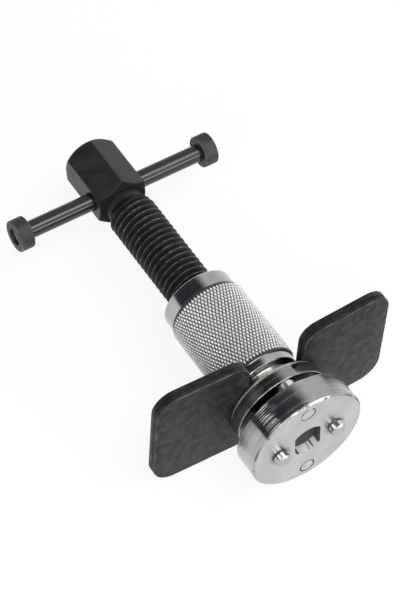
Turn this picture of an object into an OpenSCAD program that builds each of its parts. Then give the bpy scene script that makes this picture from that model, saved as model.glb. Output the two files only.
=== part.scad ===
// Wind-back tool for brake caliper pistons: a lead screw with a sliding tommy bar, a
// knurled thrust nut, a slotted reaction plate and a two-sided pinned adaptor disc.
// Millimetres. The screw runs along +Y, the adaptor's working face lies at Y = 0 and
// the slot of the reaction plate opens towards +Z.

/* [Adaptor disc] */
// Diameter of the disc
disc_d = 43.8; // [41:0.2:60]
// Thickness of the disc
disc_t = 10.5; // [9:0.1:14]
// Chamfer on both rims of the disc
disc_chamfer = 0.6; // [0.2:0.1:1.2]
// Turn of the adaptor and of the screw's nose about the screw axis, in degrees
adaptor_turn = 4.5; // [-30:0.5:30]

/* [Drive pins on the working face] */
// Diameter of a drive pin's head
drive_pin_d = 5.9; // [3:0.1:6.5]
// Width of the shoulder between a drive pin's head and its shank
drive_pin_shoulder = 0.5; // [0.3:0.1:0.8]
// Distance between the two drive pins
drive_pin_pitch = 22.2; // [20:0.1:30]
// Height of a drive pin above the working face
drive_pin_h = 3; // [1:0.1:6]
// Length of a drive pin's shank, pressed into the disc
drive_pin_depth = 7; // [3:0.1:8]

/* [Pins on the rear face] */
// Diameter of a rear pin
rear_pin_d = 6; // [3:0.1:6.5]
// Distance of a rear pin from the disc's rim
rear_pin_inset = 5.4; // [4.6:0.1:8]
// Height of a rear pin above the rear face
rear_pin_h = 3.5; // [1:0.1:6]
// Chamfer on a rear pin's end that lies flush in the working face
rear_pin_flush_chamfer = 0.3; // [0.1:0.05:0.6]

/* [Pin tips] */
// Chamfer on the free end of every pin
pin_tip_chamfer = 0.6; // [0.2:0.1:1]

/* [Screw] */
// Outside diameter of the screw thread
thread_d = 17.9; // [16:0.1:19]
// Length of the threaded stretch
thread_len = 105; // [90:1:140]
// Chamfer at both ends of the thread
thread_chamfer = 1.3; // [0.5:0.1:1.6]
// Diameter of the undercut behind the thread
relief_d = 14.8; // [12:0.1:15.5]
// Width of the undercut behind the thread
relief_len = 2.7; // [1:0.1:5]

/* [Hexagon head] */
// Width across the flats of the head
hex_af = 19; // [18:0.5:24]
// Length of the head
hex_len = 25.4; // [22:0.1:40]
// Diameter at which the front chamfer of the head starts
hex_front_d = 17.6; // [16:0.1:17.9]
// Length of the front chamfer of the head
hex_front_chamfer = 2.1; // [1:0.1:3]
// Diameter of the flat end of the head
hex_end_d = 17.8; // [14:0.1:17.9]
// Length of the chamfer at the end of the head
hex_end_chamfer = 2; // [1:0.1:3]

/* [Nose] */
// Diameter of the nose
nose_d = 13.4; // [12:0.1:14.2]
// Width across the two flats of the nose
nose_af = 10; // [9.5:0.1:10.8]
// Depth of the nose's end below the working face
nose_recess = 2.9; // [1:0.1:4]
// Chamfer on the nose's end
nose_chamfer = 0.6; // [0.2:0.1:1]
// Clearance between the nose and the adaptor's bore
nose_clear = 0.1; // [0.05:0.01:0.2]
// Gap between the screw's shoulder and the adaptor
shoulder_gap = 0.05; // [0.02:0.01:0.2]

/* [Retaining ring] */
// Thickness of the elastic ring on the nose
ring_cord = 1.6; // [1:0.1:2]
// Share of the nose clearance that the ring fills
ring_fill = 0.7; // [0.4:0.05:0.9]
// Distance of the ring from the nose's end
ring_inset = 4.2; // [3:0.1:5]
// Side play of the ring in its groove
ring_play = 0.1; // [0.05:0.01:0.2]

/* [Tommy bar] */
// Diameter of the bar
bar_d = 6.5; // [5:0.1:8]
// Length of the bar over its end caps
bar_len = 82.8; // [70:0.2:120]
// Distance of the bar from the front end of the head
bar_inset = 6.9; // [6.2:0.1:9]
// Clearance of the bar in its cross hole
bar_clear = 0.1; // [0.05:0.01:0.2]
// Diameter of an end cap
cap_d = 12; // [10:0.1:16]
// Length of an end cap
cap_len = 5.4; // [4:0.1:10]
// Rounding of an end cap's edges
cap_round = 0.5; // [0.3:0.1:1]
// Depth of the bar's end inside the cap
bar_recess = 0.8; // [0.3:0.1:1.5]
// Chamfer on the bar's ends
bar_chamfer = 0.5; // [0.2:0.1:1]

/* [Thrust nut] */
// Diameter over the knurl
knurl_d = 29.1; // [28:0.1:40]
// Length of the knurled grip
knurl_len = 34.3; // [20:0.1:60]
// Diameter of the smooth bands at the ends of the grip
band_d = 27; // [25:0.1:27.8]
// Length of the front band
front_band_len = 3.3; // [2:0.1:8]
// Length of the rear band
rear_band_len = 6; // [3:0.1:10]
// Chamfer on the bands' ends
band_chamfer = 0.6; // [0.2:0.1:1]
// Wall of the neck that carries the plate, around the nut's bore
neck_wall = 1.55; // [1.2:0.05:2.4]
// Clearance between the nut's bore and the screw
thread_clear = 0.1; // [0.05:0.01:0.2]
// Share of the neck's wall that the chamfers of the nut's bore take
bore_chamfer_share = 0.5; // [0.2:0.05:0.7]
// Gap between the rear pins and the collar
pin_gap = 0.7; // [0.6:0.1:10]

/* [Collar and washer] */
// Diameter of the collar
collar_d = 36; // [32:0.1:44]
// Thickness of the collar
collar_t = 4.9; // [3:0.1:8]
// Chamfer on the collar's outer edges
collar_chamfer = 0.7; // [0.2:0.1:1.2]
// Diameter of the thrust washer
washer_d = 34.6; // [28:0.1:38]
// Thickness of the thrust washer
washer_t = 1; // [0.8:0.1:3]
// Chamfer on the washer's outer edges
washer_chamfer = 0.25; // [0.1:0.05:0.35]
// Clearance between the washer and the neck
washer_clear = 0.1; // [0.05:0.01:0.2]
// Gap between the collar, the washer and the plate
axial_gap = 0.08; // [0.03:0.01:0.2]

/* [Reaction plate] */
// Length of the plate over both wings
plate_len = 93.2; // [80:0.2:140]
// Height of the plate above the screw axis
plate_top = 26.4; // [20:0.1:30]
// Depth of the plate below the screw axis
plate_bottom = 19.6; // [18:0.1:30]
// Thickness of the plate
plate_t = 4.2; // [3:0.1:6]
// Angle at which each wing is bent back, in degrees
plate_bend = 2; // [0:0.5:8]
// Width of the flat stretch beside the slot, on each side
plate_flat = 4; // [1:0.1:6]
// Radius of the plate's outer corners
corner_r = 8; // [3:0.1:12]
// Radius of the corners at the mouth of the slot
mouth_r = 6.5; // [2:0.1:8]
// Clearance between the slot and the neck
slot_clear = 0.3; // [0.2:0.05:1]
// Play of the plate along the neck
plate_play = 1; // [0.1:0.1:2]

/* [Hidden] */
$fn = 96;
cut = 1;

drive_shank_d = drive_pin_d - 2 * drive_pin_shoulder;
rear_pin_pitch = disc_d - 2 * rear_pin_inset;

shoulder_y = disc_t + shoulder_gap;
thread_end_y = shoulder_y + thread_len;
hex_y = thread_end_y + relief_len;
hex_end_y = hex_y + hex_len;
hex_corner_d = hex_af / cos(30);
bar_y = hex_y + bar_inset;

bore_d = nose_d + 2 * nose_clear;
bore_af = nose_af + 2 * nose_clear;
ring_mid_r = nose_af / 2 + ring_fill * nose_clear - ring_cord / 2;
ring_y = nose_recess + ring_inset;

collar_y = disc_t + rear_pin_h + pin_gap;
collar_end_y = collar_y + collar_t;
washer_y = collar_end_y + axial_gap;
plate_y = washer_y + washer_t + axial_gap;
band_y = plate_y + plate_t + plate_play;
knurl_y = band_y + front_band_len;
knurl_end_y = knurl_y + knurl_len;
nut_end_y = knurl_end_y + rear_band_len;
nut_bore_d = thread_d + 2 * thread_clear;
neck_d = nut_bore_d + 2 * neck_wall;
bore_chamfer = bore_chamfer_share * neck_wall;
knurl_step = (knurl_d - band_d) / 2;

slot_w = neck_d + 2 * slot_clear;
bend_x = slot_w / 2 + plate_flat;
wing_reach = plate_len / 2 + cut;
wing_rise = (wing_reach - bend_x) * tan(plate_bend);

black_oxide = "#26272a";
blackened_plate = "#444546";
plated = "#c9cace";
elastic = "#1c1c1c";

// A solid of revolution about the screw axis, from points of radius and Y
module turned(profile) {
    rotate([-90, 0, 0])
        rotate_extrude()
            polygon(profile);
}

// A round bar along the screw axis, from one Y to another
module axial_bar(d, from_y, to_y) {
    translate([0, from_y, 0])
        rotate([-90, 0, 0])
            cylinder(d = d, h = to_y - from_y);
}

// A round bar with two flats that face -X and +X
module double_d(d, af, from_y, to_y) {
    intersection() {
        axial_bar(d, from_y, to_y);
        translate([-af / 2, from_y - cut, -d])
            cube([af, to_y - from_y + 2 * cut, 2 * d]);
    }
}

// Places its children with the turn of the adaptor and the nose
module with_adaptor_turn() {
    rotate([0, -adaptor_turn, 0])
        children();
}

// A pin along the screw axis whose tip, at tip_y, is chamfered, and its foot where it has a chamfer
module pin(d, foot_y, tip_y, foot_chamfer = 0) {
    inward = sign(foot_y - tip_y);
    turned([
        [0, foot_y],
        [d / 2 - foot_chamfer, foot_y],
        [d / 2, foot_y - inward * foot_chamfer],
        [d / 2, tip_y + inward * pin_tip_chamfer],
        [d / 2 - pin_tip_chamfer, tip_y],
        [0, tip_y]
    ]);
}

module hexagon_head() {
    difference() {
        intersection() {
            translate([0, hex_y, 0])
                rotate([-90, 30, 0])
                    cylinder(d = hex_corner_d, h = hex_len, $fn = 6);
            turned([
                [0, hex_y],
                [hex_front_d / 2, hex_y],
                [hex_corner_d / 2, hex_y + hex_front_chamfer],
                [hex_corner_d / 2, hex_end_y - hex_end_chamfer],
                [hex_end_d / 2, hex_end_y],
                [0, hex_end_y]
            ]);
        }
        translate([-hex_corner_d, bar_y, 0])
            rotate([0, 90, 0])
                cylinder(d = bar_d + 2 * bar_clear, h = 2 * hex_corner_d);
    }
}

module screw_shaft() {
    turned([
        [0, shoulder_y],
        [thread_d / 2 - thread_chamfer, shoulder_y],
        [thread_d / 2, shoulder_y + thread_chamfer],
        [thread_d / 2, thread_end_y - thread_chamfer],
        [relief_d / 2, thread_end_y],
        [relief_d / 2, hex_y + cut],
        [0, hex_y + cut]
    ]);
}

module nose() {
    difference() {
        intersection() {
            double_d(nose_d, nose_af, nose_recess, shoulder_y + cut);
            turned([
                [0, nose_recess],
                [nose_d / 2 - nose_chamfer, nose_recess],
                [nose_d / 2, nose_recess + nose_chamfer],
                [nose_d / 2, shoulder_y + cut],
                [0, shoulder_y + cut]
            ]);
        }
        difference() {
            axial_bar(2 * nose_d, ring_y - ring_cord / 2 - ring_play, ring_y + ring_cord / 2 + ring_play);
            axial_bar(2 * ring_mid_r - ring_cord, nose_recess, shoulder_y);
        }
    }
}

module spindle() {
    color(black_oxide) {
        screw_shaft();
        hexagon_head();
        with_adaptor_turn() nose();
    }
}

module nose_ring() {
    color(elastic)
        translate([0, ring_y, 0])
            rotate([-90, 0, 0])
                rotate_extrude()
                    translate([ring_mid_r, 0])
                        circle(d = ring_cord, $fn = 48);
}

module tommy_bar() {
    reach = bar_len / 2 - bar_recess;
    color(black_oxide)
        translate([0, bar_y, 0])
            rotate([0, 90, 0])
                rotate_extrude()
                    polygon([
                        [0, -reach],
                        [bar_d / 2 - bar_chamfer, -reach],
                        [bar_d / 2, -reach + bar_chamfer],
                        [bar_d / 2, reach - bar_chamfer],
                        [bar_d / 2 - bar_chamfer, reach],
                        [0, reach]
                    ]);
}

// Half section of an end cap, from its bore outwards, with rounded outer edges
module cap_section() {
    wall = (cap_d - bar_d) / 2;
    translate([bar_d / 2, 0]) {
        square([wall - cap_round, cap_len]);
        translate([0, cap_round])
            square([wall, cap_len - 2 * cap_round]);
        for (z = [cap_round, cap_len - cap_round])
            translate([wall - cap_round, z])
                circle(r = cap_round, $fn = 32);
    }
}

// An end cap on the bar's left (-1) or right (1) end
module bar_cap(side) {
    color(black_oxide)
        translate([side * (bar_len / 2 - cap_len / 2), bar_y, 0])
            rotate([0, 90, 0])
                translate([0, 0, -cap_len / 2])
                    rotate_extrude()
                        cap_section();
}

module thrust_nut() {
    bore_r = nut_bore_d / 2;
    band_r = band_d / 2;
    color(plated)
        turned([
            [bore_r, collar_y + bore_chamfer],
            [bore_r + bore_chamfer, collar_y],
            [neck_d / 2, collar_y],
            [neck_d / 2, band_y],
            [band_r - band_chamfer, band_y],
            [band_r, band_y + band_chamfer],
            [band_r, knurl_y],
            [knurl_d / 2, knurl_y + knurl_step],
            [knurl_d / 2, knurl_end_y - knurl_step],
            [band_r, knurl_end_y],
            [band_r, nut_end_y - band_chamfer],
            [band_r - band_chamfer, nut_end_y],
            [bore_r + bore_chamfer, nut_end_y],
            [bore_r, nut_end_y - bore_chamfer]
        ]);
}

// A flat ring about the screw axis with chamfered outer edges
module ring(bore, d, t, chamfer, from_y) {
    turned([
        [bore / 2, from_y],
        [d / 2 - chamfer, from_y],
        [d / 2, from_y + chamfer],
        [d / 2, from_y + t - chamfer],
        [d / 2 - chamfer, from_y + t],
        [bore / 2, from_y + t]
    ]);
}

module collar() {
    color(plated)
        ring(neck_d, collar_d, collar_t, collar_chamfer, collar_y);
}

module thrust_washer() {
    color(plated)
        ring(neck_d + 2 * washer_clear, washer_d, washer_t, washer_chamfer, washer_y);
}

// What rounding takes off a corner at the origin whose sides run along -x and -y
module corner_waste(r) {
    translate([-r, -r])
        difference() {
            square(r + cut);
            circle(r = r);
        }
}

// Outline of the plate, seen along the screw axis, with the slot open at the top
module plate_outline() {
    half = plate_len / 2;
    difference() {
        translate([-half, -plate_bottom])
            square([plate_len, plate_bottom + plate_top]);
        circle(d = slot_w);
        translate([-slot_w / 2, 0])
            square([slot_w, plate_top + cut]);
        for (side = [0, 1])
            mirror([side, 0]) {
                translate([half, plate_top])
                    corner_waste(corner_r);
                translate([half, -plate_bottom])
                    mirror([0, 1])
                        corner_waste(corner_r);
                translate([slot_w / 2, plate_top])
                    mirror([1, 0])
                        corner_waste(mouth_r);
            }
    }
}

// Section of the bent strip, seen along Z: flat beside the slot, both wings bent back
module bent_strip() {
    back_bend_x = bend_x - plate_t * tan(plate_bend / 2);
    wing_t = plate_t / cos(plate_bend);
    polygon([
        [-wing_reach, wing_rise],
        [-bend_x, 0],
        [bend_x, 0],
        [wing_reach, wing_rise],
        [wing_reach, wing_rise + wing_t],
        [back_bend_x, plate_t],
        [-back_bend_x, plate_t],
        [-wing_reach, wing_rise + wing_t]
    ]);
}

module reaction_plate() {
    depth = wing_rise + 2 * plate_t;
    color(blackened_plate)
        translate([0, plate_y, 0])
            intersection() {
                translate([0, 0, -plate_bottom - cut])
                    linear_extrude(plate_bottom + plate_top + 2 * cut)
                        bent_strip();
                translate([0, depth, 0])
                    rotate([90, 0, 0])
                        linear_extrude(depth + cut)
                            plate_outline();
            }
}

module adaptor_disc() {
    color(plated)
        with_adaptor_turn()
            difference() {
                ring(bore_d / 2, disc_d, disc_t, disc_chamfer, 0);
                double_d(bore_d, bore_af, -cut, disc_t + cut);
                for (side = [-1, 1]) {
                    translate([side * drive_pin_pitch / 2, 0, 0])
                        axial_bar(drive_shank_d, -cut, drive_pin_depth);
                    translate([0, 0, side * rear_pin_pitch / 2])
                        axial_bar(rear_pin_d, -cut, disc_t + cut);
                }
            }
}

// A drive pin on the left (-1) or right (1), its head seated on the working face
module drive_pin(side) {
    color(plated)
        with_adaptor_turn()
            translate([side * drive_pin_pitch / 2, 0, 0]) {
                pin(drive_pin_d, 0, -drive_pin_h);
                axial_bar(drive_shank_d, -cut, drive_pin_depth);
            }
}

// A rear pin below (-1) or above (1) the screw axis, flush with the working face
module rear_pin(side) {
    color(plated)
        with_adaptor_turn()
            translate([0, 0, side * rear_pin_pitch / 2])
                pin(rear_pin_d, 0, disc_t + rear_pin_h, rear_pin_flush_chamfer);
}

spindle();
nose_ring();
tommy_bar();
bar_cap(-1);  // bar_cap_left
bar_cap(1);  // bar_cap_right
thrust_nut();
collar();
thrust_washer();
reaction_plate();
adaptor_disc();
drive_pin(-1);  // drive_pin_left
drive_pin(1);  // drive_pin_right
rear_pin(1);  // rear_pin_upper
rear_pin(-1);  // rear_pin_lower
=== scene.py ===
from contextlib import contextmanager
from math import cos, pi, radians, sin, sqrt, tan, tau

import bmesh
import bpy
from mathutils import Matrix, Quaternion, Vector


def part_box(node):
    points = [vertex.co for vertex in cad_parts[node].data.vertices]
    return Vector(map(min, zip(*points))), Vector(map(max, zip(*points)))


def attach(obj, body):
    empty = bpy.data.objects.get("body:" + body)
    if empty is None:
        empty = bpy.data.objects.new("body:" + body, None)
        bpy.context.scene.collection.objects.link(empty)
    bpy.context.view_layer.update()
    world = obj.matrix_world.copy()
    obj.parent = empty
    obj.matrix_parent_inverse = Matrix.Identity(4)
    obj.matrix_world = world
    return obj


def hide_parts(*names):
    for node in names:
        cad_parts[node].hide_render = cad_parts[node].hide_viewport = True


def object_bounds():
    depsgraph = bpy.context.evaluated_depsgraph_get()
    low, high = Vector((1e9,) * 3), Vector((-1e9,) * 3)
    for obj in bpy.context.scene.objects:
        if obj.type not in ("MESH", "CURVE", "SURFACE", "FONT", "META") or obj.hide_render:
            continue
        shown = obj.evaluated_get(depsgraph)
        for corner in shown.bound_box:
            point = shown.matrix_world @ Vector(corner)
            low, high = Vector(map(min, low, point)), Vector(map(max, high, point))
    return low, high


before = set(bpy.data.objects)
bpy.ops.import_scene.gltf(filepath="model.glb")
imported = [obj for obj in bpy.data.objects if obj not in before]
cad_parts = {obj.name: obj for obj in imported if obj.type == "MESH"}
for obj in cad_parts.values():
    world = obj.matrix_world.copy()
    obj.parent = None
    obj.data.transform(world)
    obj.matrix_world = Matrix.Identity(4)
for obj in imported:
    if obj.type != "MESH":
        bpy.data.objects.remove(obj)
CAD_LOW, CAD_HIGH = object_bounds()
MM = 0.001

# Places taken from the frame
SPINDLE_LOW, SPINDLE_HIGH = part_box("spindle")
NUT_LOW, NUT_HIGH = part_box("thrust_nut")
PLATE_LOW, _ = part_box("reaction_plate")
_, DISC_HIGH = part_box("adaptor_disc")
BAR_LOW, BAR_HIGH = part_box("tommy_bar")
COLLAR_LOW, COLLAR_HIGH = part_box("collar")
CAP_LOW, CAP_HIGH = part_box("bar_cap_right")
CAP_R = (CAP_HIGH.z - CAP_LOW.z) / 2
BAR_Y = (BAR_LOW.y + BAR_HIGH.y) / 2
BAR_R = (BAR_HIGH.z - BAR_LOW.z) / 2
FLOOR_Z = CAD_LOW.z
RUNNING_CLEARANCE = 0.1 * MM
SHOULDER_GAP = 0.05 * MM

# Meshes: closer points become one, and edges sharper than a crease, in degrees, stay hard
MERGE_DISTANCE = 0.002 * MM
CREASE = 35
THREAD_CREASE = 28
HEAD_CREASE = 30
NUT_CREASE = 20
CAD_COPY_CREASE = 30
ROUND_SEGMENTS = 64
NOSE_SEGMENTS = 120
COLLAR_SEGMENTS = 128

# Screw thread: metric, right-handed
PITCH = 2.5 * MM
THREAD_R = 8.95 * MM
THREAD_DEPTH = 1.35 * MM
THREAD_LEN = 105 * MM
THREAD_CHAMFER = 1.3 * MM
RUN_OUT = 2.8 * MM
SHOULDER_Y = DISC_HIGH.y + SHOULDER_GAP
THREAD_END_Y = SHOULDER_Y + THREAD_LEN
THREAD_COLUMNS = 72
# Corners of the profile: share of the pitch, share of the depth
THREAD_PROFILE = ((0.0, 0.0), (0.25, 0.0), (0.545, 0.95), (0.57, 1.0), (0.68, 1.0), (0.705, 0.95))
RELIEF_R = 7.4 * MM

# Hexagon head; its chamfers run out past the corners
HEAD_TO_BAR = 6.9 * MM
HEAD_Y = BAR_Y - HEAD_TO_BAR
HEAD_END_Y = SPINDLE_HIGH.y
HEAD_AF = SPINDLE_HIGH.x - SPINDLE_LOW.x
HEAD_CORNER_R = HEAD_AF / sqrt(3)
HEAD_CHAMFER_R = HEAD_CORNER_R * 1.04
HEAD_CHAMFER_STEPS = 8
HEAD_FRONT_R = 8.8 * MM
HEAD_FRONT_CHAMFER = 2.1 * MM
HEAD_END_R = 8.9 * MM
HEAD_END_CHAMFER = 2 * MM
HEAD_SHARPNESS = 70
# Columns of a face, in degrees from its middle, closer together towards its corners
HEAD_FACE_ANGLES = (-28.5, -27, -24, -18, -9, 0, 9, 18, 24, 27, 28.5, 30)
CROSS_HOLE_R = BAR_R + RUNNING_CLEARANCE
CROSS_HOLE_CHAMFER = 0.35 * MM
CUTTER_OVERSHOOT = 1 * MM

# Nose of the screw
NOSE_Y = SPINDLE_LOW.y
NOSE_R = 6.7 * MM
NOSE_AF = 10 * MM
NOSE_CHAMFER = 0.6 * MM
NOSE_TURN = radians(4.5)
RING_Y = NOSE_Y + 4.2 * MM
RING_GROOVE_R = 3.47 * MM
RING_GROOVE_HALF = 0.9 * MM

# Thrust nut and collar
NUT_BORE_R = THREAD_R + RUNNING_CLEARANCE
NECK_WALL = 1.55 * MM
NECK_R = NUT_BORE_R + NECK_WALL
BORE_CHAMFER = 0.775 * MM
NECK_FILLET = 0.9 * MM
BAND_R = 13.5 * MM
BAND_ROUND = 0.6 * MM
FRONT_BAND_LEN = 3.3 * MM
KNURL_LEN = 34.3 * MM
REAR_BAND_LEN = 6 * MM
KNURL_END_Y = NUT_HIGH.y - REAR_BAND_LEN
KNURL_Y = KNURL_END_Y - KNURL_LEN
BAND_Y = KNURL_Y - FRONT_BAND_LEN
KNURL_R = NUT_HIGH.x
KNURL_DEPTH = 0.5 * MM
KNURL_STARTS = 68
KNURL_HALF_ROWS = 26
KNURL_FLAT = 0.2
KNURL_FRONT_EDGE = 0.3 * MM
KNURL_REAR_EDGE = 0.8 * MM
KNURL_ABOVE_BAND = 0.2 * MM
COLLAR_ROUND = 0.35 * MM

# Reaction plate
PLATE_BEND = radians(2)
PLATE_BEND_X = 14.9 * MM
PLATE_T = 4.2 * MM
PLATE_FLAT_ANGLE = radians(0.5)
PLATE_RIM_ANGLE = radians(60)
PLATE_EDGE_ROUND = 0.5 * MM
PLATE_ROUND_STEPS = 4

# The disc's working face has normals that point along -Y by more than this
FACE_NORMAL_Y = -0.9

# Zones of the finishes and of the painted light and shade: a pair holds the two ends of a zone's soft
# border
HEAD_FRONT = (HEAD_Y + 0.8 * HEAD_FRONT_CHAMFER, HEAD_Y + HEAD_FRONT_CHAMFER)
NOSE_TIP = (NOSE_Y + 0.2 * MM, NOSE_Y + 0.7 * MM)
THREAD_CREST = (THREAD_R - 0.14 * MM, THREAD_R - 0.02 * MM)
CAP_OUTER_END = (CAP_HIGH.x - 0.5 * MM, CAP_HIGH.x - 0.2 * MM)
CAP_INNER_END = (CAP_LOW.x + 0.2 * MM, CAP_LOW.x + 0.5 * MM)
CAP_RIM = (CAP_R - 0.6 * MM, CAP_R - 0.3 * MM)
BREAK_LINE_HALF = (0.15 * MM, 0.4 * MM)
BREAK_LINE_DEPTH = 0.45 * PLATE_T
KNURL_CREST = (KNURL_R - 0.5 * MM, KNURL_R - 0.14 * MM)
NUT_END = (NUT_HIGH.y - 0.5 * MM, NUT_HIGH.y - 0.3 * MM)
NUT_RIM = (BAND_R - 0.6 * MM, BAND_R - 0.4 * MM)
NECK_FILM = (BAND_Y - 0.4 * MM, BAND_Y - 0.1 * MM)
PIN_SHADE = (3 * MM, 5.2 * MM)
PIN_FOOT = (-0.65 * MM, -0.4 * MM)
PIN_FLUSH = (0.3 * MM, 0.6 * MM)
DISC_BORE = (7.5 * MM, 8 * MM)
# Angles on the disc's rim run from +X towards +Z
SCORED_FROM = (radians(120), radians(129))
SCORED_TO = (radians(135), radians(139))
LIGHTLY_SCORED = (radians(40), radians(75))
# Scales that draw a noise out into streaks
ALONG_BAR = (0.02, 1, 1)
ALONG_SCREW = (1, 0.04, 1)

# Camera, fitted to the photograph
CAMERA_TARGET = Vector((-7.15, 57.32, 17.33)) * MM
CAMERA_DISTANCE = 0.830
CAMERA_AZIMUTH = radians(36.10)
CAMERA_ELEVATION = radians(53.20)
CAMERA_ROLL = radians(4.43)
CAMERA_LENS = 145.9
CAMERA_SENSOR = 36
CAMERA_CLIP = 0.05

# Studio; a lamp has a name, a direction from the camera's target, a distance, a size and a power
STUDIO_DARK = (0.036, 0.037, 0.043, 1)
STUDIO_PALE = (0.95, 0.95, 0.96, 1)
FLOOR_HALF = 4.0
FLOOR_GLOW = 0.88
LAMPS = (
    ("top_softbox", (0.1, -0.34, 0.87), 1.1, (1.1, 0.4), 7),
    ("front_softbox", (0.35, -0.88, 0.30), 1.2, (1.1, 0.26), 4.5),
    ("left_softbox", (-0.62, -0.55, 0.56), 1.2, (0.9, 0.5), 3.5),
)


class Nodes:
    """Short ways to add shader nodes to a tree and to join them."""

    def __init__(self, tree):
        self.tree = tree

    def add(self, kind, values=None, **settings):
        """A new node with its settings, and constants or links for its sockets."""
        node = self.tree.nodes.new("ShaderNode" + kind)
        for name, value in settings.items():
            setattr(node, name, value)
        for name, value in (values or {}).items():
            self.put(node.inputs[name], value)
        return node

    def put(self, socket, value):
        """Links a socket to another node's output, or sets its constant."""
        if isinstance(value, bpy.types.NodeSocket):
            self.tree.links.new(value, socket)
        else:
            socket.default_value = value

    def math(self, operation, a, b=0.0, clamp=False):
        return self.add("Math", {0: a, 1: b}, operation=operation, use_clamp=clamp).outputs[0]

    def plus(self, a, b):
        return self.math("ADD", a, b)

    def minus(self, a, b):
        return self.math("SUBTRACT", a, b)

    def times(self, a, b):
        return self.math("MULTIPLY", a, b)

    def larger(self, a, b):
        return self.math("MAXIMUM", a, b)

    def size_of(self, value):
        return self.math("ABSOLUTE", value)

    def swing(self, noise, width):
        """A noise moved to swing about zero, over the given width."""
        return self.times(self.minus(noise, 0.5), width)

    def between(self, value, low, high, to_low=0.0, to_high=1.0):
        """A smooth step from one level below low to another above high."""
        values = {"Value": value, "From Min": low, "From Max": high, "To Min": to_low, "To Max": to_high}
        return self.add("MapRange", values, interpolation_type="SMOOTHSTEP").outputs[0]

    def falling(self, value, low, high):
        """1 below low, 0 above high."""
        return self.between(value, low, high, 1.0, 0.0)

    def blend(self, share, first, second):
        """From the first colour to the second as share goes from 0 to 1."""
        return self.add("Mix", {0: share, 6: first, 7: second}, data_type="RGBA").outputs[2]

    def clouded(self, cloud, dark, light):
        """Two colours mixed by a cloudy noise."""
        return self.blend(self.between(cloud, 0.35, 0.7), dark, light)


class Surface(Nodes):
    """The nodes of a new material, with places, directions and noises on its surface."""

    def __init__(self, name):
        self.material = bpy.data.materials.new(name)
        self.material.use_nodes = True
        super().__init__(self.material.node_tree)
        self.shader = self.tree.nodes["Principled BSDF"]
        self.place = self.add("TexCoord").outputs["Object"]

    def set(self, **values):
        """Sets the shader's own sockets by name and returns the material."""
        for name, value in values.items():
            title = name.replace("_", " ").title().replace("Ior", "IOR")
            self.put(self.shader.inputs[title], value)
        return self.material

    def axis(self, letter):
        return self.add("SeparateXYZ", {"Vector": self.place}).outputs[letter]

    def length_across(self, offset, across):
        flat = self.add("VectorMath", {0: offset, 1: across}, operation="MULTIPLY").outputs[0]
        return self.add("VectorMath", {0: flat}, operation="LENGTH").outputs["Value"]

    def radius(self):
        """Distance from the screw axis."""
        return self.length_across(self.place, (1, 0, 1))

    def radius_from(self, node, across=(1, 0, 1)):
        """Distance from the middle line of a node; it runs along the axis that across leaves out."""
        low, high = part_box(node)
        values = {0: self.place, 1: (low + high) / 2}
        offset = self.add("VectorMath", values, operation="SUBTRACT").outputs[0]
        return self.length_across(offset, across)

    def facing(self, letter, normal="Normal"):
        """How far the surface faces along an axis, either way."""
        direction = self.add("NewGeometry").outputs[normal]
        return self.size_of(self.add("SeparateXYZ", {"Vector": direction}).outputs[letter])

    def noise(self, scale, detail=3, stretch=(1, 1, 1), rough=0.5):
        place = self.add("Mapping", {"Vector": self.place, "Scale": stretch}).outputs[0]
        values = {"Vector": place, "Scale": scale, "Detail": detail, "Roughness": rough}
        return self.add("TexNoise", values).outputs[0]

    def rings(self, coordinate, scale, detail=3):
        """A noise along one coordinate, for tool marks."""
        values = {"W": coordinate, "Scale": scale, "Detail": detail}
        return self.add("TexNoise", values, noise_dimensions="1D").outputs[0]

    def bump(self, height, strength, distance):
        values = {"Height": height, "Strength": strength, "Distance": distance}
        return self.add("Bump", values).outputs[0]

    def stretch_gloss(self):
        """Spreads the gloss across tool rings that run round the screw axis."""
        around = self.add("Tangent", direction_type="RADIAL", axis="Y").outputs[0]
        self.set(tangent=around, anisotropic=1.0, anisotropic_rotation=0.25)


def black_oxide(name):
    """Blackened steel, oily and slightly cloudy; the head's turned front is dull, the nose's tip paler."""
    s = Surface(name)
    cloud = s.noise(180, detail=5)
    fine = s.noise(2600, detail=3)
    turned = s.times(s.falling(s.axis("Y"), *HEAD_FRONT), s.between(s.facing("Y"), 0.3, 0.5))
    tip = s.blend(cloud, (0.022, 0.022, 0.022, 1), (0.06, 0.06, 0.059, 1))
    colour = s.clouded(cloud, (0.018, 0.018, 0.02, 1), (0.027, 0.027, 0.03, 1))
    colour = s.blend(turned, colour, (0.003, 0.003, 0.0035, 1))
    colour = s.blend(s.falling(s.axis("Y"), *NOSE_TIP), colour, tip)
    rough = s.plus(s.between(cloud, 0.3, 0.75, 0.27, 0.4), s.between(fine, 0.4, 0.7, 0.0, 0.05))
    rough = s.plus(rough, s.times(turned, 0.5))
    relief = s.bump(fine, 0.12, 0.05 * MM)
    return s.set(base_color=colour, roughness=rough, specular_ior_level=0.25, normal=relief)


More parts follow.
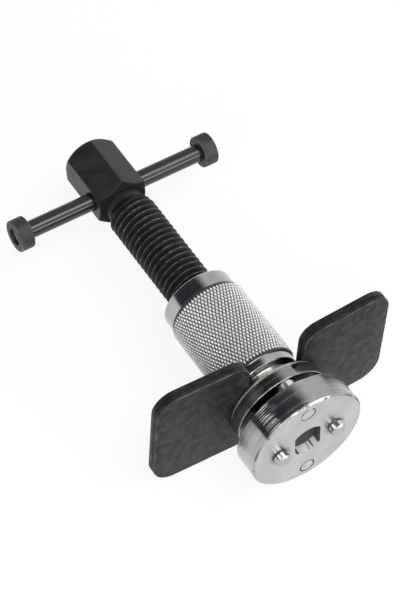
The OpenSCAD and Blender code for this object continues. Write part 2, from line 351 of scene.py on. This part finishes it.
def black_thread(name):
    """Blackened screw thread: dull flanks, darkened as painted shade, and crests that are paler, partly
    rubbed by the nut and partly a painted highlight, and dinged.
    """
    s = Surface(name)
    cloud = s.noise(260, detail=4)
    fine = s.noise(2600, detail=3)
    height = s.plus(s.radius(), s.swing(cloud, 0.12 * MM))
    pale_patches = s.between(s.noise(560, detail=4), 0.38, 0.62, 0.2, 1.0)
    crest = s.times(pale_patches, s.between(height, *THREAD_CREST))
    dinged = s.times(crest, s.between(s.noise(900, detail=2), 0.62, 0.68))
    # the thread's dark colour is painted shade in its grooves; the crests' pale colour is partly rubbed
    # wear and partly a painted highlight
    colour = s.clouded(cloud, (0.0065, 0.0065, 0.0075, 1), (0.012, 0.012, 0.013, 1))
    colour = s.blend(crest, colour, (0.088, 0.088, 0.09, 1))
    colour = s.blend(dinged, colour, (0.3, 0.3, 0.3, 1))
    rough = s.minus(s.between(fine, 0.3, 0.7, 0.38, 0.5), s.times(crest, 0.1))
    relief = s.bump(fine, 0.15, 0.05 * MM)
    return s.set(base_color=colour, roughness=rough, specular_ior_level=0.2, normal=relief)


def drawn_bar(name):
    """Blackened drawn bar, rubbed along its length by sliding in its hole."""
    s = Surface(name)
    streak = s.noise(700, detail=3, stretch=ALONG_BAR)
    cloud = s.noise(120, detail=4)
    pale_marks = s.between(streak, 0.52, 0.72)
    colour = s.blend(pale_marks, (0.007, 0.007, 0.008, 1), (0.022, 0.022, 0.023, 1))
    rough = s.plus(s.between(streak, 0.3, 0.7, 0.19, 0.27), s.between(cloud, 0.4, 0.7, 0.0, 0.06))
    relief = s.bump(streak, 0.05, 0.02 * MM)
    return s.set(base_color=colour, roughness=rough, specular_ior_level=0.65, normal=relief)


def matt_black(name):
    """Matt blackened steel of the end caps, with a fine grain and a painted highlight as a patchy pale line
    round the rims.
    """
    s = Surface(name)
    grain = s.noise(3200, detail=2)
    cloud = s.noise(220, detail=5)
    along = s.size_of(s.axis("X"))
    ends = s.larger(s.between(along, *CAP_OUTER_END), s.falling(along, *CAP_INNER_END))
    outer = s.between(s.radius_from("tommy_bar", (0, 1, 1)), *CAP_RIM)
    # painted highlight: a patchy pale line round the caps' rounded rims
    pale_patches = s.times(s.times(ends, outer), s.between(cloud, 0.35, 0.6, 0.2, 1.0))
    colour = s.blend(s.between(cloud, 0.4, 0.75), (0.021, 0.021, 0.0215, 1), (0.042, 0.0415, 0.041, 1))
    colour = s.blend(pale_patches, colour, (0.11, 0.11, 0.108, 1))
    rough = s.between(grain, 0.3, 0.7, 0.42, 0.58)
    relief = s.bump(grain, 0.25, 0.05 * MM)
    return s.set(base_color=colour, roughness=rough, specular_ior_level=0.35, normal=relief)


def stamped_plate(name):
    """Blackened stamped steel: mottled faces, a painted highlight on the rolled rims, and edges with a
    sheared, wavy break line.
    """
    s = Surface(name)
    cloud = s.noise(42, detail=6, rough=0.6)
    mottle = s.noise(330, detail=5, rough=0.65)
    grain = s.noise(1900, detail=3)
    past_bend = s.larger(s.minus(s.size_of(s.axis("X")), PLATE_BEND_X), 0.0)
    rise = s.times(past_bend, tan(PLATE_BEND))
    depth = s.minus(s.minus(s.axis("Y"), rise), PLATE_LOW.y)
    wave = s.swing(s.noise(260, detail=4), 2.2 * MM)
    off_line = s.size_of(s.minus(s.plus(depth, wave), BREAK_LINE_DEPTH))
    over = s.facing("Y", "True Normal")
    broken = s.times(s.falling(off_line, *BREAK_LINE_HALF), s.falling(over, 0.3, 0.6))
    rolled = s.times(s.between(over, 0.4, 0.6), s.falling(over, 0.9, 0.97))
    # painted highlight: a patchy pale line along the rolled-over edges
    pale_marks = s.times(rolled, s.between(s.noise(150, detail=4), 0.42, 0.62, 0.15, 1.0))
    colour = s.clouded(cloud, (0.0045, 0.0045, 0.005, 1), (0.011, 0.011, 0.0115, 1))
    colour = s.blend(s.between(mottle, 0.36, 0.66, 0.0, 0.8), colour, (0.026, 0.026, 0.0265, 1))
    colour = s.blend(broken, colour, (0.005, 0.005, 0.005, 1))
    colour = s.blend(pale_marks, colour, (0.085, 0.085, 0.086, 1))
    rough = s.plus(s.between(mottle, 0.36, 0.66, 0.51, 0.45), s.times(broken, 0.3))
    relief = s.bump(s.minus(s.times(grain, 0.35), broken), 0.35, 0.08 * MM)
    return s.set(base_color=colour, roughness=rough, specular_ior_level=0.24, normal=relief)


def turned_finish(s, dark, light):
    """Colour, roughness and relief of bright plated steel with fine tool rings round the axis."""
    along = s.axis("Y")
    rings = s.rings(along, 5200, detail=4)
    broad = s.rings(along, 900, detail=2)
    cloud = s.noise(160, detail=4)
    colour = s.clouded(cloud, dark, light)
    rough = s.plus(s.between(rings, 0.3, 0.7, 0.08, 0.12), s.between(cloud, 0.4, 0.7, 0.0, 0.03))
    rough = s.plus(rough, s.between(broad, 0.48, 0.6, 0.0, 0.06))
    relief = s.bump(s.plus(rings, s.times(broad, 2.0)), 0.12, 0.02 * MM)
    s.stretch_gloss()
    return colour, rough, relief


def turned_chrome(name):
    """Turned chrome of the collar, painted darker than the nut's chrome as painted shade."""
    s = Surface(name)
    colour, rough, relief = turned_finish(s, (0.33, 0.333, 0.342, 1), (0.39, 0.393, 0.402, 1))
    return s.set(base_color=colour, metallic=1.0, roughness=rough, normal=relief)


def nut_chrome(name):
    """Turned chrome of the nut, with a warm film on the neck and a painted highlight as a pale line on the
    rim at the rear.
    """
    s = Surface(name)
    colour, rough, relief = turned_finish(s, (0.41, 0.413, 0.422, 1), (0.465, 0.468, 0.477, 1))
    # painted highlight: a pale, less metallic and rougher line round the rear band's rim
    rim = s.times(s.between(s.axis("Y"), *NUT_END), s.between(s.radius(), *NUT_RIM))
    neck = s.falling(s.axis("Y"), *NECK_FILM)
    colour = s.blend(rim, colour, (0.75, 0.75, 0.75, 1))
    colour = s.blend(neck, colour, (0.5, 0.485, 0.42, 1))
    metal = s.between(rim, 0.0, 1.0, 1.0, 0.3)
    rough = s.plus(rough, s.times(rim, 0.3))
    rough = s.plus(rough, s.times(neck, 0.12))
    return s.set(base_color=colour, metallic=metal, roughness=rough, normal=relief)


def knurled_chrome(name):
    """Plated knurl: bright crests, and grooves painted dark as painted shade."""
    s = Surface(name)
    crest = s.between(s.radius(), *KNURL_CREST)
    # the near-black groove colour is painted shade in the knurl's recesses
    colour = s.blend(crest, (0.045, 0.045, 0.045, 1), (0.8, 0.8, 0.8, 1))
    rough = s.between(s.noise(160, detail=4), 0.3, 0.7, 0.48, 0.58)
    return s.set(base_color=colour, metallic=0.3, roughness=rough, specular_ior_level=0.3)


def pressed_washer(name):
    """Zinc-plated pressed washer: pale, satin and slightly cloudy."""
    s = Surface(name)
    cloud = s.noise(300, detail=5)
    colour = s.clouded(cloud, (0.5, 0.5, 0.49, 1), (0.62, 0.62, 0.61, 1))
    rough = s.between(cloud, 0.3, 0.7, 0.4, 0.52)
    relief = s.bump(s.noise(2400, detail=3), 0.2, 0.03 * MM)
    return s.set(base_color=colour, metallic=0.8, roughness=rough, normal=relief)


def satin_face(name):
    """Satin plated face of the disc, with faint turning rings and painted shade round each drive pin."""
    s = Surface(name)
    cloud = s.noise(95, detail=6, rough=0.6)
    nearest = s.math("MINIMUM", s.radius_from("drive_pin_left"), s.radius_from("drive_pin_right"))
    uneven = s.plus(nearest, s.swing(cloud, 3 * MM))
    # painted shade: a darker ring round each drive pin that dims the pins' reflection
    pin_shade = s.between(uneven, *PIN_SHADE, 0.7, 0.0)
    colour = s.clouded(cloud, (0.49, 0.493, 0.503, 1), (0.58, 0.583, 0.59, 1))
    colour = s.blend(pin_shade, colour, (0.24, 0.235, 0.23, 1))
    rough = s.between(cloud, 0.3, 0.75, 0.34, 0.4)
    relief = s.bump(s.rings(s.radius(), 3800, detail=3), 0.1, 0.04 * MM)
    return s.set(base_color=colour, metallic=1.0, roughness=rough, normal=relief)


def turned_rim(name):
    """Turned and plated rim of the disc: scored in places, nicked on its chamfers, with a bore whose
    streaks are a painted reflection and whose flats are painted shade.
    """
    s = Surface(name)
    along = s.axis("Y")
    cloud = s.noise(95, detail=6, rough=0.6)
    inside = s.falling(s.radius(), *DISC_BORE)
    # painted shade: the bore's two flats are painted dark
    bore_flat_shade = s.times(inside, s.between(s.facing("X"), 0.85, 0.97))
    # painted reflection: light and dark streaks along the bore's wall
    bore_streaks = s.between(s.noise(800, detail=1, stretch=ALONG_SCREW), 0.4, 0.47)
    bore = s.blend(bore_streaks, (0.1, 0.095, 0.085, 1), (0.6, 0.6, 0.595, 1))
    slope = s.facing("Y")
    sloping = s.times(s.between(slope, 0.4, 0.6), s.falling(slope, 0.85, 0.95))
    chamfer = s.math("SUBTRACT", sloping, inside, clamp=True)
    nicked = s.times(chamfer, s.between(s.noise(240, detail=3), 0.46, 0.56))
    angle = s.math("ARCTAN2", s.axis("Z"), s.axis("X"))
    ragged = s.plus(angle, s.swing(s.noise(220, detail=2), 0.5))
    scored = s.times(s.between(ragged, *SCORED_FROM), s.falling(angle, *SCORED_TO))
    scored = s.larger(scored, s.between(angle, *LIGHTLY_SCORED, 0.08, 0.05))
    colour = s.clouded(cloud, (0.42, 0.423, 0.432, 1), (0.47, 0.473, 0.482, 1))
    colour = s.blend(inside, colour, bore)
    colour = s.blend(bore_flat_shade, colour, (0.05, 0.05, 0.05, 1))
    colour = s.blend(nicked, colour, (0.3, 0.3, 0.305, 1))
    dull = s.between(s.rings(along, 700, detail=2), 0.48, 0.6, 0.0, 0.06)
    rough = s.plus(s.between(cloud, 0.3, 0.75, 0.11, 0.15), dull)
    rough = s.larger(rough, s.times(inside, 0.35))
    rough = s.plus(rough, s.times(nicked, 0.35))
    rough = s.plus(rough, s.times(scored, 0.1))
    metal = s.minus(1.0, s.times(inside, 0.7))
    relief = s.bump(s.swing(s.rings(along, 1200, detail=1), scored), 1.0, 0.45 * MM)
    s.stretch_gloss()
    return s.set(base_color=colour, metallic=metal, roughness=rough, normal=relief)


def drive_pin_steel(name):
    """Polished hardened pin with dark and bright lengthwise stripes that are a painted reflection, and a
    brown ring of flux at its foot.
    """
    s = Surface(name)
    cloud = s.noise(420, detail=4)
    streak = s.noise(950, detail=1, stretch=ALONG_SCREW)
    end = s.between(s.facing("Y"), 0.3, 0.6)
    # painted reflection: the dark and bright lengthwise stripes
    bright = s.larger(end, s.between(streak, 0.4, 0.47))
    foot = s.between(s.plus(s.axis("Y"), s.swing(cloud, 0.9 * MM)), *PIN_FOOT)
    flux = s.blend(s.between(cloud, 0.4, 0.65), (0.06, 0.043, 0.02, 1), (0.2, 0.15, 0.08, 1))
    colour = s.blend(bright, (0.05, 0.049, 0.047, 1), (0.68, 0.675, 0.66, 1))
    colour = s.blend(end, colour, (0.4, 0.4, 0.395, 1))
    colour = s.blend(foot, colour, flux)
    rough = s.plus(s.between(cloud, 0.3, 0.7, 0.08, 0.16), s.times(foot, 0.25))
    rough = s.larger(rough, s.times(end, 0.35))
    relief = s.bump(streak, 0.2, 0.1 * MM)
    return s.set(base_color=colour, metallic=0.75, roughness=rough, normal=relief)


def rear_pin_steel(name, node, patchy):
    """Ground pin whose flush end has the face's satin and a brown line, patchy or whole, round its edge."""
    s = Surface(name)
    low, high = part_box(node)
    full = (high.x - low.x) / 2
    cloud = s.noise(300, detail=4)
    streak = s.noise(700, detail=1, stretch=ALONG_SCREW)
    flush = s.falling(s.axis("Y"), *PIN_FLUSH)
    reach = s.plus(s.radius_from(node), s.swing(s.noise(1500, detail=2), 0.4 * MM))
    line = s.times(flush, s.between(reach, full - 0.7 * MM, full - 0.5 * MM))
    line = s.times(line, s.between(s.noise(240, detail=2), 0.44, 0.56, 1 - patchy, 1.0))
    # painted reflection: dark and bright lengthwise stripes on the shank
    shank = s.blend(s.between(streak, 0.4, 0.48), (0.2, 0.2, 0.2, 1), (0.85, 0.85, 0.85, 1))
    satin = s.clouded(cloud, (0.52, 0.52, 0.525, 1), (0.59, 0.59, 0.595, 1))
    colour = s.blend(flush, shank, satin)
    colour = s.blend(line, colour, (0.07, 0.052, 0.026, 1))
    rough = s.between(flush, 0.0, 1.0, 0.5, 0.34)
    metal = s.between(flush, 0.0, 1.0, 0.6, 1.0)
    return s.set(base_color=colour, metallic=metal, roughness=rough)


def soft_rubber(name):
    """Matt black rubber with a fine grain."""
    s = Surface(name)
    grain = s.noise(2800, detail=3)
    colour = s.blend(grain, (0.009, 0.009, 0.009, 1), (0.018, 0.018, 0.018, 1))
    rough = s.between(grain, 0.3, 0.7, 0.6, 0.75)
    relief = s.bump(grain, 0.3, 0.04 * MM)
    return s.set(base_color=colour, roughness=rough, normal=relief)


@contextmanager
def editing(mesh):
    """A bmesh of a mesh, written back to it at the end."""
    work = bmesh.new()
    work.from_mesh(mesh)
    yield work
    work.to_mesh(mesh)
    work.free()


def new_mesh(name, vertices, faces):
    mesh = bpy.data.meshes.new(name)
    mesh.from_pydata([tuple(v) for v in vertices], [], faces)
    return mesh


def new_object(name, data):
    """An object that is linked into the scene."""
    obj = bpy.data.objects.new(name, data)
    bpy.context.scene.collection.objects.link(obj)
    return obj


def mark_creases(work, crease):
    """Keeps an edge hard where its faces meet at more than the crease angle."""
    for edge in work.edges:
        edge.smooth = edge.is_manifold and edge.calc_face_angle(0) < radians(crease)


def mesh_piece(name, mesh, material, body, crease=CREASE):
    """A mesh as a piece that rides on a body, smooth but for its creases."""
    with editing(mesh) as work:
        bmesh.ops.remove_doubles(work, verts=work.verts, dist=MERGE_DISTANCE)
        bmesh.ops.recalc_face_normals(work, faces=work.faces)
        for face in work.faces:
            face.smooth = True
        mark_creases(work, crease)
    mesh.materials.clear()
    mesh.materials.append(material)
    obj = new_object(name, mesh)
    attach(obj, body)
    return obj


def piece(name, vertices, faces, material, body, slot, crease=CREASE):
    """A piece made from points and faces."""
    return mesh_piece(name, new_mesh(name, vertices, faces), material, body, crease)


def about_axis(radius, angle, y):
    """A point about the screw axis; the angle runs from +X towards +Z."""
    return Vector((radius * cos(angle), y, radius * sin(angle)))


def even_angles(count):
    return [tau * i / count for i in range(count)]


def round_reach(radius, angle):
    """The reach of a plain round shape: the same radius at every angle."""
    return radius


def turned_rings(profile, angles, reach=round_reach):
    """Points of a profile carried round the screw axis, and the point numbers of each ring."""
    vertices = [about_axis(reach(r, a), a, y) for r, y in profile for a in angles]
    count = len(angles)
    return vertices, [range(k * count, (k + 1) * count) for k in range(len(profile))]


def ring_grid(rings):
    """Faces between successive rings of equal length."""
    count = len(rings[0])
    faces = []
    for low, high in zip(rings, rings[1:]):
        for i in range(count):
            j = (i + 1) % count
            faces.append((low[i], low[j], high[j], high[i]))
    return faces


def turned_shape(profile, angles, reach=round_reach):
    """Vertices and faces of a turned solid from end to end, closed by flat caps."""
    vertices, rings = turned_rings(profile, angles, reach)
    return vertices, ring_grid(rings) + [tuple(rings[0]), tuple(rings[-1])]


def edge_arc(radius, y, size, inward, steps=4):
    """Points of a rounded outer edge, from the end face at y to the rim; inward is 1 or -1 along Y."""
    turns = [pi / 2 * i / steps for i in range(steps + 1)]
    return [(radius - size * (1 - sin(t)), y + inward * size * (1 - cos(t))) for t in turns]


def fillet_arc(radius, y, size, steps=5):
    """Points of a hollow corner between a shaft of that radius and a face at y that lies behind it."""
    turns = [pi / 2 * i / steps for i in range(steps + 1)]
    return [(radius + size * (1 - cos(t)), y - size * (1 - sin(t))) for t in turns]


def thread_limit(y):
    """The largest radius of the screw at y: chamfered at its start and run out towards the head."""
    start = THREAD_R - THREAD_CHAMFER + (y - SHOULDER_Y)
    end = RELIEF_R + (THREAD_END_Y - y) * (THREAD_R - RELIEF_R) / RUN_OUT
    return min(start, end, THREAD_R)


def screw_thread():
    """Vertices and faces of the thread: a helical grid, cut off at both ends."""
    turns = int(THREAD_LEN / PITCH) + 2
    levels = [(turn + share, depth) for turn in range(-1, turns) for share, depth in THREAD_PROFILE]
    vertices = []
    columns = []
    for j in range(THREAD_COLUMNS):
        share = j / THREAD_COLUMNS
        column = []
        for level, depth in levels:
            y = SHOULDER_Y + (level + share - 0.5) * PITCH
            y = min(max(y, SHOULDER_Y), THREAD_END_Y)
            radius = THREAD_R - THREAD_DEPTH * (1 - depth)
            column.append(len(vertices))
            # a right-handed helix turns from +Z towards +X on its way along +Y
            vertices.append(about_axis(min(radius, thread_limit(y)), pi / 2 - tau * share, y))
        columns.append(column)
    # after one turn the first column comes round again, one pitch further on
    step = len(THREAD_PROFILE)
    columns.append(columns[0][step:] + [None] * step)
    faces = []
    for left, right in zip(columns, columns[1:]):
        for k in range(len(levels) - 1):
            quad = (left[k], right[k], right[k + 1], left[k + 1])
            if None not in quad:
                faces.append(quad)
    return vertices, faces


def screw_shaft(material, plain):
    """The threaded shaft and the plain relief between it and the head."""
    mesh = new_mesh("screw_shaft", *screw_thread())
    with editing(mesh) as work:
        bmesh.ops.remove_doubles(work, verts=work.verts, dist=MERGE_DISTANCE)
        bmesh.ops.holes_fill(work, edges=[e for e in work.edges if e.is_boundary])
    shaft = mesh_piece("screw_shaft", mesh, material, "spindle", THREAD_CREASE)
    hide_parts("spindle")
    relief = turned_shape([(RELIEF_R, THREAD_END_Y), (RELIEF_R, HEAD_Y)], even_angles(ROUND_SEGMENTS))
    piece("screw_relief", *relief, plain, "spindle", "black_oxide")


def hexagon_reach(angle):
    """Distance from the axis to a hexagon with softly rounded corners and flats that face +X and -X."""
    total = sum(max(0, cos(angle - k * pi / 3)) ** HEAD_SHARPNESS for k in range(6))
    return HEAD_AF / 2 / total ** (1 / HEAD_SHARPNESS)


def head_reach(radius, angle):
    """The nearer of the hexagon and the chamfer's cone, with the edge between them softened."""
    across = hexagon_reach(angle)
    return (across ** -HEAD_SHARPNESS + radius ** -HEAD_SHARPNESS) ** (-1 / HEAD_SHARPNESS)


def head_chamfer(end_r, end_y, height):
    """Profile of a chamfer from an end face of the head to past its corners; height is signed along Y."""
    shares = [i / HEAD_CHAMFER_STEPS for i in range(HEAD_CHAMFER_STEPS + 1)]
    return [(end_r + t * (HEAD_CHAMFER_R - end_r), end_y + t * height) for t in shares]


def cross_hole_cutter():
    """A chamfered round bar along X that cuts the tommy bar's hole."""
    out = HEAD_AF / 2
    flare = CROSS_HOLE_R + CROSS_HOLE_CHAMFER + CUTTER_OVERSHOOT
    profile = [(flare, -out - CUTTER_OVERSHOOT), (CROSS_HOLE_R, CROSS_HOLE_CHAMFER - out),
               (CROSS_HOLE_R, out - CROSS_HOLE_CHAMFER), (flare, out + CUTTER_OVERSHOOT)]
    vertices, faces = turned_shape(profile, even_angles(ROUND_SEGMENTS))
    mesh = new_mesh("cutter", [(v.y, v.x + BAR_Y, v.z) for v in vertices], faces)
    with editing(mesh) as work:
        bmesh.ops.recalc_face_normals(work, faces=work.faces)
    return new_object("cutter", mesh)


def cut_out(obj, cutter):
    """Takes the cutter's volume out of a mesh object and removes the cutter."""
    change = obj.modifiers.new("cut", "BOOLEAN")
    change.operation = "DIFFERENCE"
    change.solver = "EXACT"
    change.object = cutter
    graph = bpy.context.evaluated_depsgraph_get()
    result = bpy.data.meshes.new_from_object(obj.evaluated_get(graph))
    obj.modifiers.clear()
    obj.data = result
    bpy.data.objects.remove(cutter)


def hexagon_head(material):
    """The head with chamfered ends and the tommy bar's hole across it."""
    angles = [radians(60 * k + offset) for k in range(6) for offset in HEAD_FACE_ANGLES]
    profile = head_chamfer(HEAD_FRONT_R, HEAD_Y, HEAD_FRONT_CHAMFER)
    profile += head_chamfer(HEAD_END_R, HEAD_END_Y, -HEAD_END_CHAMFER)[::-1]
    vertices, faces = turned_shape(profile, angles, head_reach)
    head = piece("hexagon_head", vertices, faces, material, "spindle", "black_oxide", HEAD_CREASE)
    cut_out(head, cross_hole_cutter())
    with editing(head.data) as work:
        mark_creases(work, HEAD_CREASE)


def nose_reach(radius, angle):
    """The nearer of the nose's round and its two flats; the least cosine keeps the flats finite."""
    least_cosine = 0.01
    return min(radius, NOSE_AF / 2 / max(abs(cos(angle - NOSE_TURN)), least_cosine))


def screw_nose(material):
    """The screw's nose, with two flats and a groove for the elastic ring."""
    profile = [(NOSE_R - NOSE_CHAMFER, NOSE_Y), (NOSE_R, NOSE_Y + NOSE_CHAMFER),
               (NOSE_R, RING_Y - RING_GROOVE_HALF), (RING_GROOVE_R, RING_Y - RING_GROOVE_HALF),
               (RING_GROOVE_R, RING_Y + RING_GROOVE_HALF), (NOSE_R, RING_Y + RING_GROOVE_HALF),
               (NOSE_R, SHOULDER_Y)]
    vertices, faces = turned_shape(profile, even_angles(NOSE_SEGMENTS), nose_reach)
    piece("screw_nose", vertices, faces, material, "spindle", "black_oxide")


def knurl(vertices, columns):
    """Diamond pyramids with small flat tops, between two crossed families of grooves.

    Grid points of even parity are crossings of the grooves; each odd point carries a pyramid.
    Adds its points to vertices, and returns its faces and its first and last rings.
    """
    faces = []
    low = KNURL_R - KNURL_DEPTH
    start = KNURL_Y + KNURL_FRONT_EDGE
    row_step = (KNURL_LEN - KNURL_FRONT_EDGE - KNURL_REAR_EDGE) / KNURL_HALF_ROWS
    column_step = tau / columns
    point = {}
    for row in range(KNURL_HALF_ROWS + 1):
        edge_row = row in (0, KNURL_HALF_ROWS)
        for k in range(columns):
            if edge_row or (k + row) % 2 == 0:
                point[k, row] = len(vertices)
                vertices.append(about_axis(low, k * column_step, start + row * row_step))
    around = ((1, 0), (0, 1), (-1, 0), (0, -1))
    for row in range(1, KNURL_HALF_ROWS):
        for k in range(columns):
            if (k + row) % 2 == 0:
                continue
            top = []
            for dk, dr in around:
                top.append(len(vertices))
                angle = (k + KNURL_FLAT * dk) * column_step
                vertices.append(about_axis(KNURL_R, angle, start + (row + KNURL_FLAT * dr) * row_step))
            foot = [point[(k + dk) % columns, row + dr] for dk, dr in around]
            faces.append(tuple(top))
            for i in range(4):
                j = (i + 1) % 4
                faces.append((top[i], top[j], foot[j], foot[i]))
    for row, inner in ((0, 1), (KNURL_HALF_ROWS, KNURL_HALF_ROWS - 1)):
        for k in range(columns):
            if (k + row) % 2:
                before, after = (k - 1) % columns, (k + 1) % columns
                faces.append((point[before, row], point[k, row], point[k, inner]))
                faces.append((point[k, row], point[after, row], point[k, inner]))
    first = [point[k, 0] for k in range(columns)]
    last = [point[k, KNURL_HALF_ROWS] for k in range(columns)]
    return faces, first, last


def thrust_nut(material, knurl_material):
    """The nut: bore, neck, front band, knurl and rear band in one closed mesh."""
    columns = 2 * KNURL_STARTS
    bore = NUT_BORE_R + BORE_CHAMFER
    before = [(NUT_BORE_R, NUT_HIGH.y - BORE_CHAMFER), (NUT_BORE_R, NUT_LOW.y + BORE_CHAMFER),
              (bore, NUT_LOW.y), (NECK_R, NUT_LOW.y)]
    before += fillet_arc(NECK_R, BAND_Y, NECK_FILLET) + edge_arc(BAND_R, BAND_Y, BAND_ROUND, 1)
    before += [(BAND_R, KNURL_Y), (KNURL_R - KNURL_DEPTH - KNURL_FRONT_EDGE, KNURL_Y)]
    after = [(BAND_R, KNURL_END_Y)] + edge_arc(BAND_R, NUT_HIGH.y, BAND_ROUND, -1)[::-1]
    after += [(bore, NUT_HIGH.y)]
    vertices, rings = turned_rings(before + after, even_angles(columns))
    faces, first, last = knurl(vertices, columns)
    faces += ring_grid(rings[:len(before)] + [first])
    faces += ring_grid([last] + rings[len(before):] + rings[:1])
    nut = piece("knurled_nut", vertices, faces, material, "nut", "bright_chrome", NUT_CREASE)
    nut.data.materials.append(knurl_material)
    for face in nut.data.polygons:
        x, y, z = face.center
        outside = x * x + z * z > (BAND_R + KNURL_ABOVE_BAND) ** 2
        face.material_index = int(KNURL_Y < y < KNURL_END_Y and outside)
    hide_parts("thrust_nut")


def thrust_collar(material):
    """The collar at the end of the neck, with rounded rims."""
    profile = [(NECK_R, COLLAR_LOW.y)] + edge_arc(COLLAR_HIGH.x, COLLAR_LOW.y, COLLAR_ROUND, 1)
    profile += edge_arc(COLLAR_HIGH.x, COLLAR_HIGH.y, COLLAR_ROUND, -1)[::-1] + [(NECK_R, COLLAR_HIGH.y)]
    vertices, rings = turned_rings(profile, even_angles(COLLAR_SEGMENTS))
    faces = ring_grid(rings + rings[:1])
    ring = piece("collar_ring", vertices, faces, material, "nut", "bright_chrome")
    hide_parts("collar")


def rounded_plate(material):
    """The plate's own shape with its stamped edges rolled over."""
    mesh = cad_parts["reaction_plate"].data.copy()
    mesh.name = "stamped_plate"
    with editing(mesh) as work:
        bmesh.ops.remove_doubles(work, verts=work.verts, dist=MERGE_DISTANCE)
        bmesh.ops.dissolve_limit(work, angle_limit=PLATE_FLAT_ANGLE, verts=work.verts, edges=work.edges)
        rims = [e for e in work.edges if e.calc_face_angle(0) > PLATE_RIM_ANGLE]
        bmesh.ops.bevel(work, geom=rims, offset=PLATE_EDGE_ROUND, segments=PLATE_ROUND_STEPS, profile=0.5,
                        affect="EDGES", clamp_overlap=True)
    plate = mesh_piece("stamped_plate", mesh, material, "plate", CAD_COPY_CREASE)
    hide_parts("reaction_plate")


def pinned_disc(face_material, rim_material):
    """The disc's own shape, with one finish on its working face and another on its rim and bore."""
    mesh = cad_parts["adaptor_disc"].data.copy()
    mesh.name = "pinned_disc"
    disc = mesh_piece("pinned_disc", mesh, rim_material, "adaptor", CAD_COPY_CREASE)
    mesh.materials.append(face_material)
    for face in mesh.polygons:
        face.material_index = int(face.normal.y < FACE_NORMAL_Y)
    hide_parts("adaptor_disc")


def dress(node, material):
    """Gives a carried-over CAD node its material."""
    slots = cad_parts[node].data.materials
    slots.clear()
    slots.append(material)


def build():
    """Makes every piece and dresses the CAD nodes that stay."""
    oxide = black_oxide("black_oxide")
    screw_shaft(black_thread("black_thread"), oxide)
    hexagon_head(oxide)
    screw_nose(oxide)
    thrust_nut(nut_chrome("bright_chrome_nut"), knurled_chrome("bright_chrome_knurl"))
    rounded_plate(stamped_plate("blackened_plate"))
    thrust_collar(turned_chrome("bright_chrome"))
    pinned_disc(satin_face("satin_nickel"), turned_rim("turned_nickel"))
    cap = matt_black("cap_black")
    dress("bar_cap_left", cap)
    dress("bar_cap_right", cap)
    dress("tommy_bar", drawn_bar("drawn_bar"))
    dress("thrust_washer", pressed_washer("pressed_washer"))
    drive_pin = drive_pin_steel("pin_steel")
    dress("drive_pin_left", drive_pin)
    dress("drive_pin_right", drive_pin)
    for name, patchy in (("rear_pin_upper", 0.85), ("rear_pin_lower", 0.2)):
        dress(name, rear_pin_steel(name + "_steel", name, patchy))
    dress("nose_ring", soft_rubber("elastic"))


def look_at(obj, target, roll=0.0):
    """Turns a camera or a lamp towards a point."""
    aim = (target - obj.location).to_track_quat("-Z", "Y")
    obj.rotation_euler = (aim @ Quaternion((0, 0, 1), roll)).to_euler()


def add_camera():
    """The camera at the photograph's viewing angle."""
    data = bpy.data.cameras.new("camera")
    data.lens = CAMERA_LENS
    data.sensor_width = CAMERA_SENSOR
    data.clip_start = CAMERA_CLIP
    camera = new_object("camera", data)
    flat = cos(CAMERA_ELEVATION)
    away = Vector((-sin(CAMERA_AZIMUTH) * flat, -cos(CAMERA_AZIMUTH) * flat, sin(CAMERA_ELEVATION)))
    camera.location = CAMERA_TARGET + CAMERA_DISTANCE * away
    look_at(camera, CAMERA_TARGET, CAMERA_ROLL)
    bpy.context.scene.camera = camera


def add_lamp(name, direction, distance, size, power):
    """A rectangular soft lamp that faces the camera's target."""
    data = bpy.data.lights.new(name, "AREA")
    data.shape = "RECTANGLE"
    data.size, data.size_y = size
    data.energy = power
    lamp = new_object(name, data)
    lamp.location = CAMERA_TARGET + distance * Vector(direction).normalized()
    look_at(lamp, CAMERA_TARGET)


def add_world():
    """A pale studio that is dark high up at the rear left, which gives the bright metal its dark bands."""
    world = bpy.data.worlds.new("studio")
    world.use_nodes = True
    bpy.context.scene.world = world
    nodes = Nodes(world.node_tree)
    view = nodes.add("SeparateXYZ", {"Vector": nodes.add("TexCoord").outputs["Generated"]}).outputs
    right = nodes.between(view["X"], 0.06, 0.5, 0.0, 0.84)
    front = nodes.between(view["Y"], 0.05, -0.35)
    low = nodes.between(view["Z"], 0.15, 0.11)
    colour = nodes.blend(nodes.larger(nodes.larger(right, front), low), STUDIO_DARK, STUDIO_PALE)
    nodes.put(world.node_tree.nodes["Background"].inputs["Color"], colour)


def add_floor():
    """A white floor that the camera and the metal see as white, with a soft shadow left on it."""
    sides = ((-1, -1), (1, -1), (1, 1), (-1, 1))
    corners = [(x * FLOOR_HALF, y * FLOOR_HALF, FLOOR_Z) for x, y in sides]
    floor = new_object("floor", new_mesh("floor", corners, [(0, 1, 2, 3)]))
    s = Surface("floor_white")
    s.set(base_color=(0.9, 0.9, 0.9, 1), roughness=1.0)
    light = s.add("LightPath").outputs
    seen = s.larger(s.larger(light["Is Camera Ray"], light["Is Glossy Ray"]), light["Is Transmission Ray"])
    white = s.add("Emission", {"Strength": 1.0}).outputs[0]
    mix = s.add("MixShader", {0: s.times(seen, FLOOR_GLOW), 1: s.shader.outputs[0], 2: white})
    s.put(s.tree.nodes["Material Output"].inputs["Surface"], mix.outputs[0])
    floor.data.materials.append(s.material)


def set_stage():
    """World, floor, camera and lamps."""
    bpy.context.scene.view_settings.view_transform = "Standard"
    add_world()
    add_floor()
    add_camera()
    for lamp in LAMPS:
        add_lamp(*lamp)


build()
set_stage()
